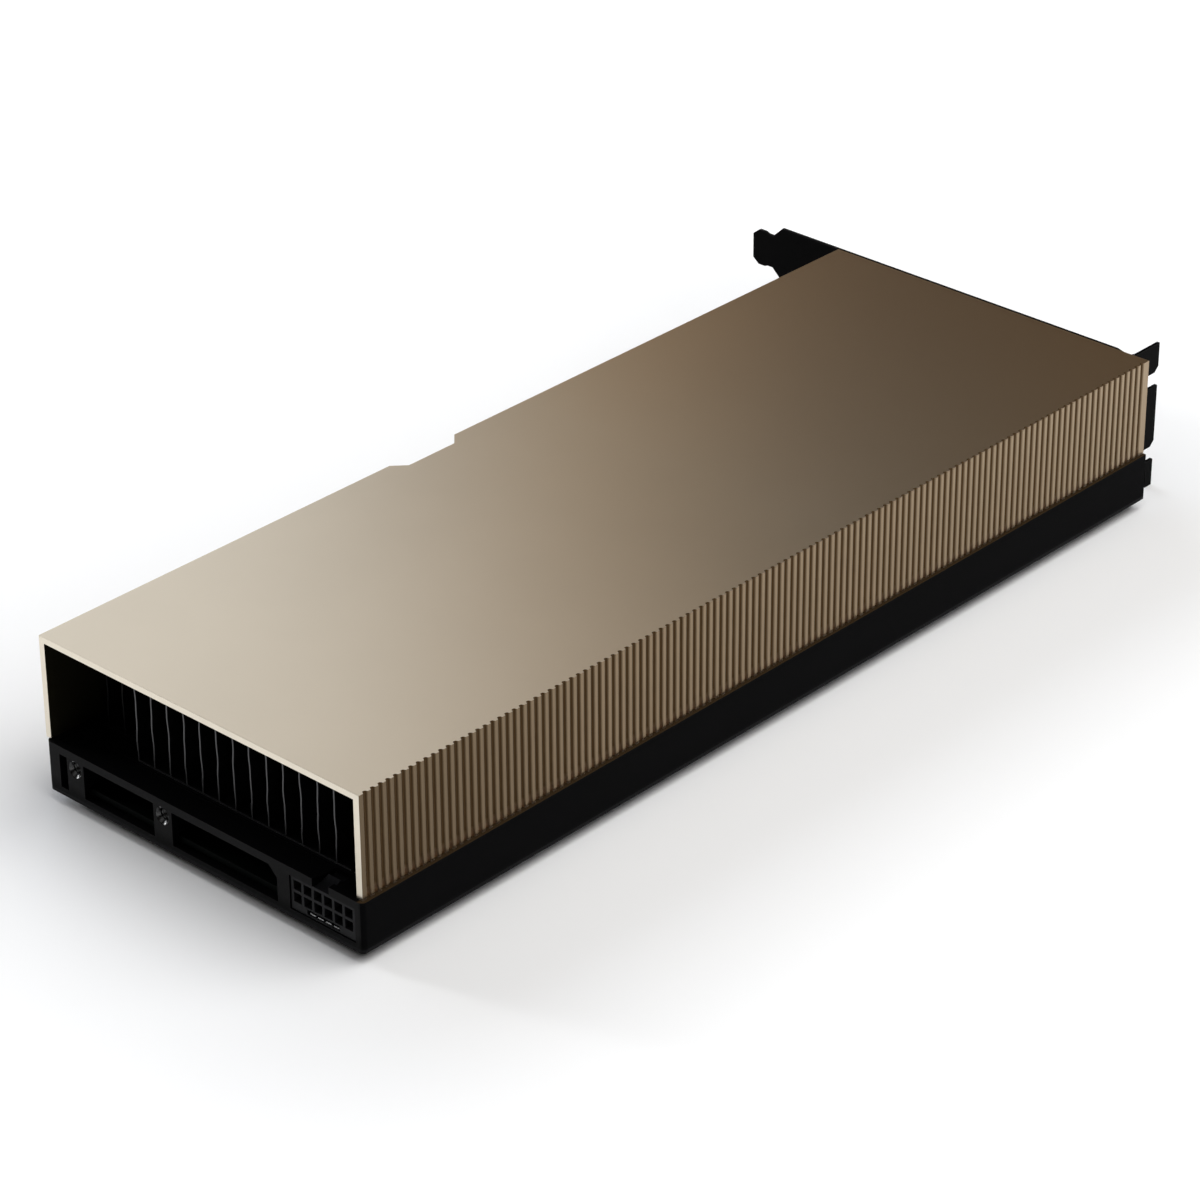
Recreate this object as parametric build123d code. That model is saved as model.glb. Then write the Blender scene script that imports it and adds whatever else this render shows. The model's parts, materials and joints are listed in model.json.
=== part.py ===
from build123d import *
import math
import os

# Passively cooled accelerator card, two slots wide, lying on its back cover.
# Millimetres. X runs from the open inlet end to the slot bracket, Y from the ribbed
# side to the edge connector, Z up. The sizes below are written in the card's own frame:
# X from the shroud's inlet edge, Y from the ribbed face, Z from the back cover's face.

# Shroud
card_length = 266.7
shroud_width = 97.0
shroud_top = 37.25
top_thickness = 1.5
ribbed_wall = 1.7
plain_wall = 1.6
rib_pitch = 2.166
groove_width = 1.14
groove_depth = 0.7
crest_break = 0.14
groove_shoulder = (0.8, 0.7)
groove_floor = 0.4
near_rib_margin = 1.934
far_rib_margin = 2.6
notch_before_hook = 6.4
notch_after_hook = 14.9
notch_depth = 3.1
notch_slope = 3.2

# Base frame
split_height = 12.2
bezel_forward = 1.0
bezel_thickness = 1.7
ribbed_side_proud = 0.8
plain_side_inset = 1.0
side_wall = 2.0
far_wall = 2.0
corner_radius = 1.3
bezel_lip = 1.1
rail_height = 2.0
inlet_step_depth = 5.1
inlet_step_drop = 0.6
deck_thickness = 1.0
deck_end = 20.0
window_one_inset = 11.8
window_one_width = 22.2
window_two_start = 24.3
window_two_inset = 39.7
window_chamfer = 2.4
bezel_slot_inset = 4.1
bezel_slot_width = 2.4
corner_insert_inset = 9.1
insert_spacing = 27.7
insert_height = 8.2
insert_boss_width = 5.0
insert_boss_depth = 8.0
insert_length = 6.0
insert_outer_radius = 2.1
insert_bore_radius = 1.25
insert_countersink = 0.75

# Back cover and circuit board
back_thickness = 0.85
board_gap = 1.35
board_thickness = 1.57
board_clearance = 0.2
board_step_start = 30.0
board_step_setback = 11.7
board_edge_reach = 5.9
finger_reach = 8.25
finger_tab_setback = 58.1
finger_tab_length = 84.9
finger_chamfer = 1.3
key_width = 1.9
key_distance = 11.65
hook_gap = 1.0
hook_width = 10.7
hook_reach = 6.3
hook_notch = 2.6
contact_pitch = 1.0
contact_width = 0.7
contact_length = 5.6
contact_from_key = 0.55
contact_setback = 1.3
contact_thickness = 0.05
rim_width = 1.8

# Fasteners
screw_radius = 1.2
screw_head_radius = 2.2
thread_clearance = 0.05
hole_clearance = 0.25
socket_share = 0.62
socket_depth = 0.5
sheet_head_share = 0.9
wall_head_share = 0.6
screw_bite = 3.6
spacer_radius = 2.6
boss_radius = 3.0
frame_boss_reach = 5.6
near_frame_screw = 48.0
middle_frame_screw_offset = 40.0
far_frame_screw_offset = 57.0
deck_screw_right = 42.0
deck_screw_inset = 22.0
deck_screw_x = 13.0
small_screw_radius = 0.9
small_head_radius = 1.7
near_shroud_screws = (24.0, 88.0)
far_shroud_screws = (20.7, 98.7)
shroud_screw_height = 3.0
lug_width = 8.0
lug_height = 5.6
lug_thickness = 1.3
lug_gap = 0.1
lug_root = 2.0
bracket_screw_right = 14.0
bracket_screw_inset = 15.0
bracket_screw_height = 7.4

# Heat sink
fin_first = 13.9
fin_pitch = 5.03
fin_front = 6.3
fin_recess = 5.1
fin_between_recess = 16.0
fins_between = 2
front_fins = 13
fin_thickness = 0.4
fin_foot = 0.5
fin_foot_side = 4.2
fin_top_gap = 0.5
fin_side_gap = 2.7
fin_end_gap = 4.7
sink_thickness = 4.0
sink_gap = 0.3
sink_screw_offsets = (-80.0, 78.0)
sink_screw_right = 14.0
sink_screw_inset = 17.0

# Processor package
package_setback = 108.7
package_shift = 0.5
substrate_size = 55.0
substrate_height = 1.5
ring_gap = 0.3
ring_height = 1.2
die_size = (26.0, 32.0)
die_height = 0.78
stack_size = (8.0, 10.0)
stack_gap = 0.6
interface_thickness = 0.1
pedestal_gap = 0.7
pedestal_overhang = 3.0
spring_arm = 33.0
spring_width = 9.0
spring_thickness = 0.8
spring_screw_head = 0.5
spring_key_depth = 0.4
spring_pad_side = 18.0
spring_window_margin = 8.0

# Power parts on the board
inductor_size = (10.0, 6.6)
inductor_pitch = 8.2
inductor_margin = 5.2
inductor_offset = 42.0
pad_thickness = 0.5
stage_size = (6.0, 5.0)
stage_height = 0.9
stage_offset = 9.6
capacitor_size = (7.3, 4.3)
capacitor_height = 2.8
capacitor_rows = (20.0, 30.0, 40.0)
capacitor_pitch = 6.4
capacitor_first = 25.0
capacitor_count = 8
controller_size = 7.0
controller_height = 0.9
controller_near = 60.0
controller_rows = (40.0, 60.0)
controller_far_offset = 68.0
flash_size = (5.0, 8.0)
flash_height = 1.6
flash_offset = (68.0, 18.0)
crystal_size = (3.2, 2.5)
crystal_height = 0.8
crystal_offset = (60.0, 14.0)
shunt_size = (4.0, 9.0)
shunt_height = 1.2
shunt_pitch = 8.0
shunt_count = 2
shunt_place = (26.0, 11.0)

# Power socket
socket_side_gap = 0.15
socket_height_gap = 0.1
socket_width = 18.85
socket_start = 1.6
socket_setback = 0.3
socket_depth_x = 14.0
cell_pitch = 3.0
cell_size = 2.3
cell_depth = 9.0
cells_per_row = 6
lower_row_height = 5.2
pin_size = 1.0
pin_front = 3.0
pin_tail = 2.2
side_slot_width = 9.6
side_slot_bottom = 2.45
side_slot_height = 1.2
side_slot_depth = 4.0
side_contact_pitch = 2.3
side_contact_width = 1.7
side_contact_thickness = 0.4
side_contacts = 4
latch_gap_offset = 0.325
latch_gap_width = 4.9
latch_side_gap = 0.6
latch_length = 3.6
latch_height = 1.5

# Slot bracket
bracket_thickness = 0.86
bracket_height = 120.02
flange_face = 5.4
flange_reach = 11.1
bend_radius = 1.3
slot_pitch = 20.32
tongue_centre = 29.85
tongue_width = 9.7
tongue_length = 9.6
neck_width = 8.9
neck_start = 3.0
neck_end = 4.6
neck_slope = 1.0
tongue_root = 2.4
tongue_tip_cut = (1.9, 1.5)
plate_edge_margin = 7.35
plate_corner = 4.6
flange_low = -2.8
flange_top = 36.1
screw_notch_width = 3.8
screw_notch_centre = 26.55
screw_notch_end = 3.0
screw_notch_chamfer = 1.4
hook_finger_width = 2.6
vent_width = 3.2
vent_pitch = 4.9
vent_count = 17
vent_low = 14.2
vent_high = 34.8
vent_start = 10.6

# How far a cutting shape runs past what it cuts, and a joined one into its neighbour
overrun = 1.0

# Values that follow from the ones above
base_front = -bezel_forward
base_right = -ribbed_side_proud
base_left = shroud_width - plain_side_inset
bezel_back = base_front + bezel_thickness
board_bottom = back_thickness + board_gap
board_top = board_bottom + board_thickness
window_low = back_thickness + bezel_lip
window_high = split_height - rail_height
low_deck_top = split_height - inlet_step_drop
step_end = bezel_back + inlet_step_depth
wall_inner_right = base_right + side_wall
wall_inner_left = base_left - side_wall
wall_inner_far = card_length - far_wall
window_one = (base_left - window_one_inset - window_one_width, base_left - window_one_inset)
window_two = (window_two_start, base_left - window_two_inset)
bezel_slot = (base_left - bezel_slot_inset - bezel_slot_width, base_left - bezel_slot_inset)
insert_centres = (base_left - corner_insert_inset - insert_spacing, base_left - corner_insert_inset)
package_x = card_length - package_setback
package_y = shroud_width / 2 - package_shift
package_centre = (package_x, package_y)
sink_bottom = split_height - sink_thickness
substrate_top = board_top + substrate_height
die_top = substrate_top + die_height
pedestal_bottom = die_top + interface_thickness
board_edge = shroud_width + board_edge_reach
board_step_end = card_length - board_step_setback
finger_edge = board_edge + finger_reach
finger_tab_end = card_length - finger_tab_setback
finger_tab_start = finger_tab_end - finger_tab_length
hook_start = finger_tab_start - hook_gap - hook_width
notch_start = hook_start - notch_before_hook
notch_end = hook_start + notch_after_hook
frame_screws_x = (near_frame_screw, package_x - middle_frame_screw_offset, package_x + far_frame_screw_offset)
deck_screws_y = (deck_screw_right, base_left - deck_screw_inset)
shroud_screws_x = near_shroud_screws + tuple(card_length - x for x in far_shroud_screws)
bracket_screws_y = (bracket_screw_right, package_y, shroud_width - bracket_screw_inset)
fin_end = card_length - fin_end_gap
sink_screws_y = (sink_screw_right, shroud_width - sink_screw_inset)
sink_screws = [(package_x + dx, y) for dx in sink_screw_offsets for y in sink_screws_y]
inductor_columns = (package_x - inductor_offset, package_x + inductor_offset)
inductor_count = int((wall_inner_left - wall_inner_right - 2 * inductor_margin) / inductor_pitch)
stacks_width = die_size[0] + 2 * (stack_gap + stack_size[0])
ring_inner = stacks_width + 2 * ring_gap
pedestal_size = (ring_inner - 2 * pedestal_gap, die_size[1] + 2 * pedestal_overhang)
controller_places = [(controller_near, y) for y in controller_rows]
controller_places.append((package_x + controller_far_offset, package_y))
flash_place = (package_x + flash_offset[0], package_y + flash_offset[1])
crystal_place = (package_x + crystal_offset[0], package_y + crystal_offset[1])
socket_end = socket_start + socket_width
socket_front = base_front + socket_setback
socket_back = socket_front + socket_depth_x
socket_bottom = window_low + socket_height_gap
socket_top = window_high - socket_height_gap
socket_middle = (socket_start + socket_end) / 2
latch_gap_start = socket_middle + latch_gap_offset - latch_gap_width / 2
latch_gap = (latch_gap_start, latch_gap_start + latch_gap_width)
plate_top = tongue_centre + plate_edge_margin
plate_low = tongue_centre - slot_pitch - plate_edge_margin
tongue_tip = flange_face + bracket_height
plate_end = tongue_tip - tongue_length
bracket_face = card_length + bracket_thickness
flange_tip = bracket_face + flange_reach

# The part's origin: middle of its outline, on the surface that it stands on
origin = Vector((base_front + flange_tip) / 2, (base_right + tongue_tip) / 2, flange_low)


def block(x0, x1, y0, y1, z0, z1):
    """Box between two corners."""
    return Pos(x0, y0, z0) * Box(x1 - x0, y1 - y0, z1 - z0, align=(Align.MIN,) * 3)


def block_at(centre, size, z0, z1):
    """Upright box round a plan centre."""
    (x, y), (dx, dy) = centre, size
    return block(x - dx / 2, x + dx / 2, y - dy / 2, y + dy / 2, z0, z1)


def rod(x, y, radius, z0, z1):
    """Upright cylinder."""
    return Pos(x, y, z0) * Cylinder(radius, z1 - z0, align=(Align.CENTER, Align.CENTER, Align.MIN))


def plan(points, z0, z1):
    """Outline in plan, raised from z0 to z1."""
    face = make_face(Polyline(*points, close=True))
    return Pos(0, 0, z0) * extrude(face, z1 - z0)


def side_plate(points, x0, x1):
    """Outline of (y, z) points, raised along X."""
    face = make_face(Polyline(*[(0, y, z) for y, z in points], close=True))
    return Pos(x0, 0, 0) * extrude(face, x1 - x0, dir=(1, 0, 0))


def flange_plate(points, y0, y1):
    """Outline of (x, z) points, raised along Y."""
    face = make_face(Polyline(*[(x, 0, z) for x, z in points], close=True))
    return Pos(0, y0, 0) * extrude(face, y1 - y0, dir=(0, 1, 0))


def join(shapes):
    """One solid from touching or overlapping pieces."""
    shapes = list(shapes)
    return shapes[0].fuse(*shapes[1:]) if len(shapes) > 1 else shapes[0]


def screw(radius, head_radius, head_height, length):
    """Countersunk screw with a hexagon socket, head face at Z 0, shank upwards."""
    head = Cone(head_radius, radius, head_height, align=(Align.CENTER, Align.CENTER, Align.MIN))
    shank = rod(0, 0, radius, 0, length)
    key = extrude(RegularPolygon(socket_share * radius, 6), socket_depth)
    return head.fuse(shank).cut(key)


def sink_for(radius, head_radius, head_height, length, clearance):
    """Space that a countersunk screw takes in the sheet under its head."""
    head = Cone(head_radius + thread_clearance, radius + clearance, head_height,
                align=(Align.CENTER, Align.CENTER, Align.MIN))
    return head.fuse(rod(0, 0, radius + clearance, 0, length))


# Shroud

def groove_centres():
    """Places of the grooves between the ribs along the ribbed face."""
    count = int((card_length - near_rib_margin - far_rib_margin) / rib_pitch) + 1
    return [near_rib_margin + rib_pitch * i for i in range(count)]


def groove_points(x):
    """Rounded groove at x, seen from above; shoulder and floor are shares of the whole groove."""
    half = groove_width / 2
    wide, deep = groove_shoulder
    side = [(half + crest_break, 0), (half, crest_break), (wide * half, deep * groove_depth),
            (groove_floor * half, groove_depth)]
    near = [(x - dx, y) for dx, y in side]
    return near + [(x + dx, y) for dx, y in reversed(side)]


def notch_points(inset):
    """Edge of the plain side, drawn towards the inlet, with the recess for the slot's latch."""
    y = shroud_width - inset
    slope = notch_slope
    start, end = notch_start - inset / 2, notch_end + inset / 2
    return [(end, y), (end - slope, y - notch_depth), (start + slope, y - notch_depth), (start, y)]


def make_shroud():
    outline = [(0, 0)]
    for x in groove_centres():
        outline += groove_points(x)
    outline += [(card_length, 0), (card_length, shroud_width)]
    outline += notch_points(0) + [(0, shroud_width)]
    near, far, left = -overrun, card_length + overrun, shroud_width - plain_wall
    inside = [(near, ribbed_wall), (far, ribbed_wall), (far, left)]
    inside += notch_points(plain_wall) + [(near, left)]
    body = plan(outline, split_height, shroud_top)
    body = body.cut(plan(inside, split_height - overrun, shroud_top - top_thickness))
    return body.cut(*shroud_screw_spaces())


def shroud_screw_places():
    """Frames of the screws in the plain side, heads outwards."""
    z = split_height + shroud_screw_height
    return [Location((x, shroud_width, z), (90, 0, 0)) for x in shroud_screws_x]


def shroud_screw_length():
    return plain_wall + lug_gap + lug_thickness


def shroud_screw_spaces():
    space = sink_for(small_screw_radius, small_head_radius, plain_wall * wall_head_share,
                     plain_wall + overrun, thread_clearance)
    return [place * space for place in shroud_screw_places()]


def make_shroud_screws():
    one = screw(small_screw_radius, small_head_radius, plain_wall * wall_head_share, shroud_screw_length())
    return [place * one for place in shroud_screw_places()]


# Base frame

def frame_boss_places():
    """Screws that hold the board and the back cover to the frame's side bosses."""
    right = wall_inner_right + frame_boss_reach / 2
    left = wall_inner_left - frame_boss_reach / 2
    return [(x, y) for x in frame_screws_x for y in (right, left)]


def deck_boss_places():
    return [(deck_screw_x, y) for y in deck_screws_y]


def make_frame_shell():
    """Walls round the board, with the side wall lifted over the board's connector edge."""
    outer = block(base_front, card_length, base_right, base_left, back_thickness, split_height)
    upright = outer.edges().filter_by(Axis.Z)
    outer = fillet(upright.group_by(Axis.X)[0], corner_radius)
    cavity = block(bezel_back, wall_inner_far, wall_inner_right, wall_inner_left, 0, split_height + overrun)
    board_way = block(bezel_back, wall_inner_far, wall_inner_left - overrun, base_left + overrun,
                      0, board_top)
    return outer.cut(cavity, board_way)


def make_bezel_cuts():
    """Windows, side slot, socket opening and latch gap through the inlet end."""
    through = (base_front - overrun, bezel_back)
    cuts = [block(*through, *window_one, window_low, window_high)]
    y0, y1 = window_two
    c = window_chamfer
    outline = [(y0, window_low), (y1, window_low), (y1, window_high),
               (y0 + c, window_high), (y0, window_high - c)]
    cuts.append(side_plate(outline, *through))
    cuts.append(block(*through, *bezel_slot, window_low, window_high))
    gap = socket_side_gap
    cuts.append(block(*through, socket_start - gap, socket_end + gap, window_low, window_high))
    cuts.append(block(base_front - overrun, step_end, *latch_gap, window_high, split_height + overrun))
    return cuts


def make_deck():
    """Floor of the air inlet, a step lower just behind the bezel's top rail."""
    low = block(bezel_back, step_end, wall_inner_right, wall_inner_left,
                low_deck_top - deck_thickness, low_deck_top)
    high = block(step_end, deck_end, wall_inner_right, wall_inner_left,
                 split_height - deck_thickness, split_height)
    return [low, high]


def make_frame_bosses():
    bosses = []
    top = sink_bottom - sink_gap
    for x, y in frame_boss_places():
        bosses.append(block_at((x, y), (2 * boss_radius, frame_boss_reach), board_top, top))
    for x, y in deck_boss_places():
        bosses.append(rod(x, y, boss_radius, board_top, split_height - deck_thickness))
    half = insert_boss_width / 2
    for y in insert_centres:
        bosses.append(block(bezel_back, bezel_back + insert_boss_depth - bezel_thickness,
                            y - half, y + half, board_top + board_clearance, low_deck_top - deck_thickness))
    return bosses


def make_lugs():
    """Upstands inside the shroud's plain wall that its screws bite into."""
    y1 = shroud_width - plain_wall - lug_gap
    y0 = y1 - lug_thickness
    low, high = split_height - lug_root, split_height + lug_height
    return [block(x - lug_width / 2, x + lug_width / 2, y0, y1, low, high) for x in shroud_screws_x]


def make_base_frame():
    frame = join([make_frame_shell()] + make_deck() + make_frame_bosses() + make_lugs())
    frame = frame.cut(*make_bezel_cuts())
    holes = [rod(x, y, screw_radius + thread_clearance, board_top - overrun, board_top + screw_bite)
             for x, y in frame_boss_places() + deck_boss_places()]
    holes += [place * rod(0, 0, small_screw_radius + thread_clearance, 0, shroud_screw_length() + overrun)
              for place in shroud_screw_places()]
    holes += [place * rod(0, 0, insert_outer_radius + thread_clearance, 0, insert_length + thread_clearance)
              for place in insert_places()]
    holes += [place * rod(0, 0, screw_radius + thread_clearance, 0, far_wall + bracket_thickness + overrun)
              for place in bracket_screw_places()]
    return frame.cut(*holes)


def insert_places():
    """Frames of the threaded inserts, mouths at the bezel's face."""
    return [Location((base_front, y, insert_height), (0, 90, 0)) for y in insert_centres]


def make_inserts():
    """Threaded inserts that a server's support bracket is screwed to."""
    mouth = Cone(insert_bore_radius + insert_countersink, insert_bore_radius, insert_countersink,
                 align=(Align.CENTER, Align.CENTER, Align.MIN))
    one = rod(0, 0, insert_outer_radius, 0, insert_length)
    one = one.cut(rod(0, 0, insert_bore_radius, 0, insert_length), mouth)
    return [place * one for place in insert_places()]


# Back cover, board and their screws

def cover_screw_places():
    return frame_boss_places() + deck_boss_places() + list(sink_screws)


def spring_screw_places():
    cx, cy = package_centre
    return [(cx + sx * spring_arm, cy + sy * spring_arm) for sx in (-1, 1) for sy in (-1, 1)]


def make_backplate():
    plate = block(base_front, card_length, base_right, base_left, 0, back_thickness)
    plate = fillet(plate.edges().filter_by(Axis.Z).group_by(Axis.X)[0], corner_radius)
    rim = block(bezel_back + board_clearance, wall_inner_far - board_clearance,
                base_left - rim_width, base_left, back_thickness, board_bottom)
    side = 2 * (spring_arm + spring_window_margin)
    window = block_at(package_centre, (side, side), -overrun, back_thickness + overrun)
    window = fillet(window.edges().filter_by(Axis.Z), spring_window_margin)
    space = sink_for(screw_radius, screw_head_radius, back_thickness * sheet_head_share,
                     back_thickness + overrun, hole_clearance)
    return plate.fuse(rim).cut(window, *[Pos(x, y, 0) * space for x, y in cover_screw_places()])


def make_cover_screws():
    one = screw(screw_radius, screw_head_radius, back_thickness * sheet_head_share,
                board_top + screw_bite - thread_clearance)
    return [Pos(x, y, 0) * one for x, y in cover_screw_places()]


def make_spacers():
    ring = rod(0, 0, spacer_radius, back_thickness, board_bottom)
    ring = ring.cut(rod(0, 0, screw_radius + hole_clearance, 0, board_top))
    return [Pos(x, y, 0) * ring for x, y in cover_screw_places()]


def board_outline():
    """Board in plan: socket cut-out, stepped edge, hook, and keyed edge connector."""
    x0, x1 = bezel_back + board_clearance, wall_inner_far - board_clearance
    y0 = wall_inner_right + board_clearance
    cut_x, cut_y = socket_back + board_clearance, socket_end + 2 * board_clearance
    c = finger_chamfer
    key_far = finger_tab_end - key_distance
    key_near = key_far - key_width
    hook_end = hook_start + hook_width
    return [
        (cut_x, y0), (x1, y0), (x1, base_left), (board_step_end, base_left), (board_step_end, board_edge),
        (finger_tab_end, board_edge), (finger_tab_end, finger_edge - c), (finger_tab_end - c, finger_edge),
        (key_far, finger_edge), (key_far, board_edge), (key_near, board_edge), (key_near, finger_edge),
        (finger_tab_start + c, finger_edge), (finger_tab_start, finger_edge - c),
        (finger_tab_start, board_edge), (hook_end - hook_notch, board_edge),
        (hook_end - hook_notch, board_edge + hook_reach / 2),
        (hook_end, board_edge + hook_reach / 2), (hook_end, board_edge + hook_reach - c),
        (hook_end - c, board_edge + hook_reach), (hook_start, board_edge + hook_reach),
        (hook_start, board_edge), (board_step_start, board_edge), (board_step_start, base_left),
        (x0, base_left), (x0, cut_y), (cut_x, cut_y),
    ]


def make_board():
    board = plan(board_outline(), board_bottom, board_top)
    holes = [rod(x, y, screw_radius + hole_clearance, 0, board_top + overrun)
             for x, y in cover_screw_places() + spring_screw_places()]
    half = pin_size / 2 + thread_clearance
    holes += [block_at(tail, (2 * half, 2 * half), 0, board_top + overrun) for tail in pin_tails()]
    return board.cut(*holes)


def contact_places():
    """Centres of the edge contacts along X, outwards from both sides of the key."""
    far = finger_tab_end - key_distance
    places = []
    for key_side, tab_side, step in ((far, finger_tab_end, 1), (far - key_width, finger_tab_start, -1)):
        room = abs(tab_side - key_side) - contact_from_key - contact_width / 2
        count = int(room / contact_pitch) + 1
        places += [key_side + step * (contact_from_key + contact_pitch * i) for i in range(count)]
    return places


def make_edge_contacts():
    """Gilded fingers on both faces of the edge connector."""
    y1 = finger_edge - contact_setback
    half = contact_width / 2
    pads = []
    for x in contact_places():
        for low in (board_top, board_bottom - contact_thickness):
            pads.append(block(x - half, x + half, y1 - contact_length, y1, low, low + contact_thickness))
    return pads


# Processor package and its clamp

def make_substrate():
    return block_at(package_centre, (substrate_size,) * 2, board_top, substrate_top)


def make_ring():
    outer = block_at(package_centre, (substrate_size,) * 2, substrate_top, substrate_top + ring_height)
    return outer.cut(block_at(package_centre, (ring_inner,) * 2, 0, split_height))


def make_die():
    return block_at(package_centre, die_size, substrate_top, die_top)


def make_memory_stacks():
    """Three memory stacks along each long side of the die."""
    cx, cy = package_centre
    dx = (die_size[0] + stack_size[0]) / 2 + stack_gap
    dy = stack_size[1] + stack_gap
    return [block_at((cx + side * dx, cy + row * dy), stack_size, substrate_top, die_top)
            for side in (-1, 1) for row in (-1, 0, 1)]


def make_interface():
    return block_at(package_centre, pedestal_size, die_top, pedestal_bottom)


def make_spring():
    """Crossed leaf spring under the board, one arm to each processor screw."""
    length = 2 * spring_arm * math.sqrt(2)
    low = spring_screw_head
    top = low + spring_thickness
    arm = block_at((0, 0), (length, spring_width), low, top)
    end = rod(length / 2, 0, spring_width / 2, low, top)
    far_end = rod(-length / 2, 0, spring_width / 2, low, top)
    strip = arm.fuse(end, far_end)
    cx, cy = package_centre
    spring = (Pos(cx, cy, 0) * Rot(0, 0, 45) * strip).fuse(Pos(cx, cy, 0) * Rot(0, 0, -45) * strip)
    hole = rod(0, 0, screw_radius + hole_clearance, 0, board_top)
    return spring.cut(*[Pos(x, y, 0) * hole for x, y in spring_screw_places()])


def make_spring_pad():
    low = spring_screw_head + spring_thickness
    return block_at(package_centre, (spring_pad_side,) * 2, low, board_bottom)


def make_spring_screws():
    head = rod(0, 0, screw_head_radius, 0, spring_screw_head)
    key = extrude(RegularPolygon(socket_share * screw_radius, 6), spring_key_depth)
    shank = rod(0, 0, screw_radius, 0, board_top + screw_bite - thread_clearance)
    one = head.fuse(shank).cut(key)
    return [Pos(x, y, 0) * one for x, y in spring_screw_places()]


# Heat sink

def make_sink_base():
    """Nickel-plated vapour chamber: plate, pedestal over the processor and screw posts."""
    x0 = deck_end + sink_gap
    plate = block(x0, fin_end, wall_inner_right + sink_gap, wall_inner_left - sink_gap,
                  sink_bottom, split_height)
    pedestal = block_at(package_centre, pedestal_size, pedestal_bottom, sink_bottom + overrun)
    places = list(sink_screws) + spring_screw_places()
    posts = [rod(x, y, boss_radius, board_top, sink_bottom + overrun) for x, y in places]
    holes = [rod(x, y, screw_radius + thread_clearance, board_top - overrun, board_top + screw_bite)
             for x, y in places]
    return join([plate, pedestal] + posts).cut(*holes)


def fin_places():
    """Every fin's place and the X where its front edge starts."""
    step = fin_pitch / (fins_between + 1)
    last = shroud_width - plain_wall - fin_side_gap
    count = int((last - fin_first) / step) + 1
    fins = []
    for i in range(count):
        y = fin_first + step * i
        main = i % (fins_between + 1) == 0
        front = fin_front if i // (fins_between + 1) < front_fins else fin_front + fin_recess
        fins.append((y, front if main else fin_front + fin_between_recess))
    return fins


def make_fin_stack():
    """Fins soldered along their feet; the last ones stand back from the inlet."""
    fins = fin_places()
    half = fin_thickness / 2
    top = shroud_top - top_thickness - fin_top_gap
    last_front = fin_first + fin_pitch * (front_fins - 1) + half
    foot = block(fin_front, fin_end, fin_first - fin_foot_side, last_front,
                 split_height, split_height + fin_foot)
    side_foot = block(fin_front + fin_recess, fin_end, last_front - overrun, fins[-1][0] + half,
                      split_height, split_height + fin_foot)
    plates = [block(front, fin_end, y - half, y + half, split_height, top) for y, front in fins]
    return join([foot, side_foot] + plates)


# Power parts and small chips on the board

def power_row():
    cy = package_centre[1]
    return [cy + inductor_pitch * (i - (inductor_count - 1) / 2) for i in range(inductor_count)]


def make_inductors():
    top = sink_bottom - pad_thickness
    return [block_at((x, y), inductor_size, board_top, top) for x in inductor_columns for y in power_row()]


def make_inductor_pads():
    """One strip of soft pad on each column of inductors."""
    rows = power_row()
    length = rows[-1] - rows[0] + inductor_size[1]
    low = sink_bottom - pad_thickness
    return [block_at((x, package_centre[1]), (inductor_size[0], length), low, sink_bottom)
            for x in inductor_columns]


def make_power_stages():
    top = board_top + stage_height
    stages = []
    for x in inductor_columns:
        side = -1 if x < package_centre[0] else 1
        stages += [block_at((x + side * stage_offset, y), stage_size, board_top, top) for y in power_row()]
    return stages


def make_capacitors():
    top = board_top + capacitor_height
    ys = [capacitor_first + capacitor_pitch * i for i in range(capacitor_count)]
    return [block_at((x, y), capacitor_size, board_top, top) for x in capacitor_rows for y in ys]


def make_controllers():
    top = board_top + controller_height
    return [block_at(place, (controller_size,) * 2, board_top, top) for place in controller_places]


def make_flash():
    return block_at(flash_place, flash_size, board_top, board_top + flash_height)


def make_crystal():
    return block_at(crystal_place, crystal_size, board_top, board_top + crystal_height)


def make_shunts():
    x, y = shunt_place
    return [block_at((x + i * shunt_pitch, y), shunt_size, board_top, board_top + shunt_height)
            for i in range(shunt_count)]


# Power socket

def cell_places():
    """Centres (y, z) of the power cells, lower row first."""
    ys = [socket_middle + cell_pitch * (i - (cells_per_row - 1) / 2) for i in range(cells_per_row)]
    return [(y, lower_row_height + row * cell_pitch) for row in range(2) for y in ys]


def pin_tails():
    """Plan centres of the contacts' solder tails, the upper row further back."""
    x = socket_back + pin_tail
    return [(x + (0 if z == lower_row_height else cell_pitch), y) for y, z in cell_places()]


def side_contact_places():
    return [socket_middle + side_contact_pitch * (i - (side_contacts - 1) / 2) for i in range(side_contacts)]


def make_socket():
    """Twelve power cells over a slot with four signal contacts, and the latch ramp on top."""
    body = block(socket_front, socket_back, socket_start, socket_end, socket_bottom, socket_top)
    half = pin_size / 2 + thread_clearance
    cuts = []
    mouth, back = socket_front - overrun, socket_back + overrun
    cell = cell_size / 2
    for y, z in cell_places():
        cuts.append(block(mouth, socket_front + cell_depth, y - cell, y + cell, z - cell, z + cell))
        cuts.append(block(socket_front, back, y - half, y + half, z - half, z + half))
    slot = side_slot_width / 2
    cuts.append(block(mouth, socket_front + side_slot_depth, socket_middle - slot, socket_middle + slot,
                      side_slot_bottom, side_slot_bottom + side_slot_height))
    wide = side_contact_width / 2 + thread_clearance
    for y in side_contact_places():
        cuts.append(block(socket_front, back, y - wide, y + wide,
                          side_slot_bottom - thread_clearance, side_slot_bottom + side_contact_thickness))
    y0, y1 = latch_gap[0] + latch_side_gap, latch_gap[1] - latch_side_gap
    ramp_start = socket_front + socket_setback
    ramp = flange_plate([(ramp_start, socket_top), (ramp_start + latch_length, socket_top),
                         (ramp_start + latch_length, socket_top + latch_height)], y0, y1)
    return body.cut(*cuts).fuse(ramp)


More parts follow.
